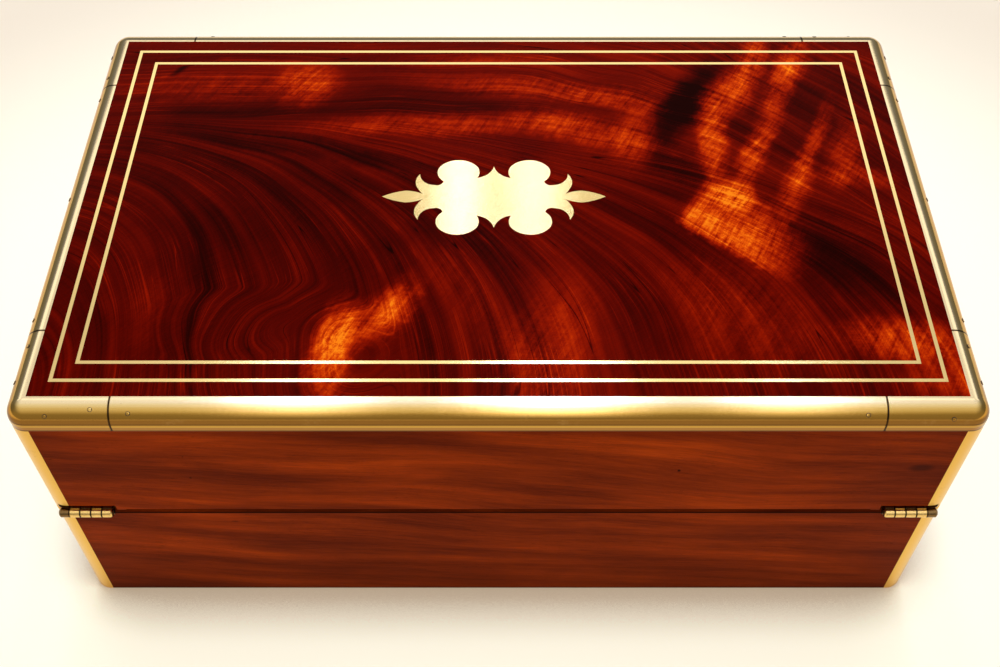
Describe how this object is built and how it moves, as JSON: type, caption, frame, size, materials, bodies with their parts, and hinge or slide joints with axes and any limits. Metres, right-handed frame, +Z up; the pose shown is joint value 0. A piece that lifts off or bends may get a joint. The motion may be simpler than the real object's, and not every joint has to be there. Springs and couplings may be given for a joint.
{
  "type": "writing slope",
  "caption": "Brass-bound wooden writing slope: a hinged box that opens flat into a sloping leather desk over paper compartments, with pen tray, inkwells and lock.",
  "frame": {"origin": "centre of the case's footprint, on the underside of the bottom board", "axes": "+X along the width, +Y from the hinges to the lock, +Z up"},
  "size_m": [0.406, 0.2488, 0.154],
  "materials": {
    "flame_veneer": "french polished flame mahogany",
    "mahogany": "waxed straight-grained mahogany",
    "flap_wood": "polished mahogany",
    "tray_wood": "waxed mahogany",
    "brass": "old polished brass",
    "inlay_brass": "bright engraved-flat brass",
    "leather": "dark green skiver",
    "glass": "cut clear glass"
  },
  "bodies": {
    "base": {"base_bottom": "mahogany", "base_hinge_wall": "mahogany", "base_lock_wall": "mahogany", "base_left_wall": "mahogany", "base_right_wall": "mahogany", "base_partition": "mahogany", "pen_section_floor": "mahogany", "left_cell_divider": "mahogany", "right_cell_divider": "mahogany", "pen_tray": "tray_wood", "base_ledges": "mahogany", "base_strip_hinge_left": "brass", "base_strip_hinge_right": "brass", "base_strip_lock_left": "brass", "base_strip_lock_right": "brass", "base_hinge_leaf_left": "brass", "base_hinge_leaf_right": "brass", "hinge_pins": "brass", "lock_case": "brass", "keyhole_escutcheon": "brass", "inkwell_collar_left": "brass", "inkwell_collar_right": "brass", "base_leather_fold": "leather", "inkwell_left": "glass", "inkwell_right": "glass"},
    "lid": {"lid_top_board": "mahogany", "lid_hinge_wall": "mahogany", "lid_lock_wall": "mahogany", "lid_left_wall": "mahogany", "lid_right_wall": "mahogany", "lid_ledges": "mahogany", "lid_strip_hinge_left": "brass", "lid_strip_hinge_right": "brass", "lid_strip_lock_left": "brass", "lid_strip_lock_right": "brass", "lid_cap_hinge_left": "brass", "lid_cap_hinge_right": "brass", "lid_cap_lock_left": "brass", "lid_cap_lock_right": "brass", "lid_band_hinge": "brass", "lid_band_lock": "brass", "lid_band_left": "brass", "lid_band_right": "brass", "lid_hinge_leaf_left": "brass", "lid_hinge_leaf_right": "brass", "hook_plate": "brass", "stringing_outer": "inlay_brass", "stringing_inner": "inlay_brass", "cartouche": "inlay_brass", "lid_veneer": "flame_veneer", "lid_leather_fold": "leather"},
    "base_flap": {"base_flap": "flap_wood", "base_flap_leather": "leather"},
    "lid_flap": {"lid_flap": "flap_wood", "lid_flap_leather": "leather"},
    "inkwell_cap_left": {"inkwell_cap_left": "brass"},
    "inkwell_cap_right": {"inkwell_cap_right": "brass"},
    "lock_bolt": {"lock_bolt": "brass"},
    "turn_catch_left": {"turn_catch_left": "brass"},
    "turn_catch_right": {"turn_catch_right": "brass"}
  },
  "joints": [
    {"name": "lid_hinge", "type": "hinge", "parent": "base", "child": "lid", "pos_m": [0, -0.1236, 0.077], "axis": [1, 0, 0], "range_deg": [0, 180]},
    {"name": "base_flap_hinge", "type": "hinge", "parent": "base", "child": "base_flap", "pos_m": [0, -0.1135, 0.07746], "axis": [1, 0, 0], "range_deg": [0, 60]},
    {"name": "lid_flap_hinge", "type": "hinge", "parent": "lid", "child": "lid_flap", "pos_m": [0, -0.1135, 0.08017], "axis": [-1, 0, 0], "range_deg": [0, 60]},
    {"name": "inkwell_cap_left_hinge", "type": "hinge", "parent": "base", "child": "inkwell_cap_left", "pos_m": [-0.1695, 0.1051, 0.10292], "axis": [-1, 0, 0], "range_deg": [0, 90]},
    {"name": "inkwell_cap_right_hinge", "type": "hinge", "parent": "base", "child": "inkwell_cap_right", "pos_m": [0.1695, 0.1051, 0.10292], "axis": [-1, 0, 0], "range_deg": [0, 90]},
    {"name": "lock_bolt_slide", "type": "slide", "parent": "base", "child": "lock_bolt", "axis": [1, 0, 0], "range_m": [0, 0.0042]},
    {"name": "turn_catch_left_pivot", "type": "hinge", "parent": "lid", "child": "turn_catch_left", "pos_m": [-0.112, 0.1181, 0.12344], "axis": [0, -0.1836, 0.983], "range_deg": [0, 90]},
    {"name": "turn_catch_right_pivot", "type": "hinge", "parent": "lid", "child": "turn_catch_right", "pos_m": [0.112, 0.1181, 0.12344], "axis": [0, 0.1836, -0.983], "range_deg": [0, 90]}
  ],
  "couplings": [
    {"joint": "base_flap_hinge", "follows": "lid_hinge", "ratio": 0.33333},
    {"joint": "lid_flap_hinge", "follows": "lid_hinge", "ratio": 0.33333},
    {"joint": "inkwell_cap_left_hinge", "follows": "lid_hinge", "ratio": 0.5},
    {"joint": "inkwell_cap_right_hinge", "follows": "lid_hinge", "ratio": 0.5}
  ]
}
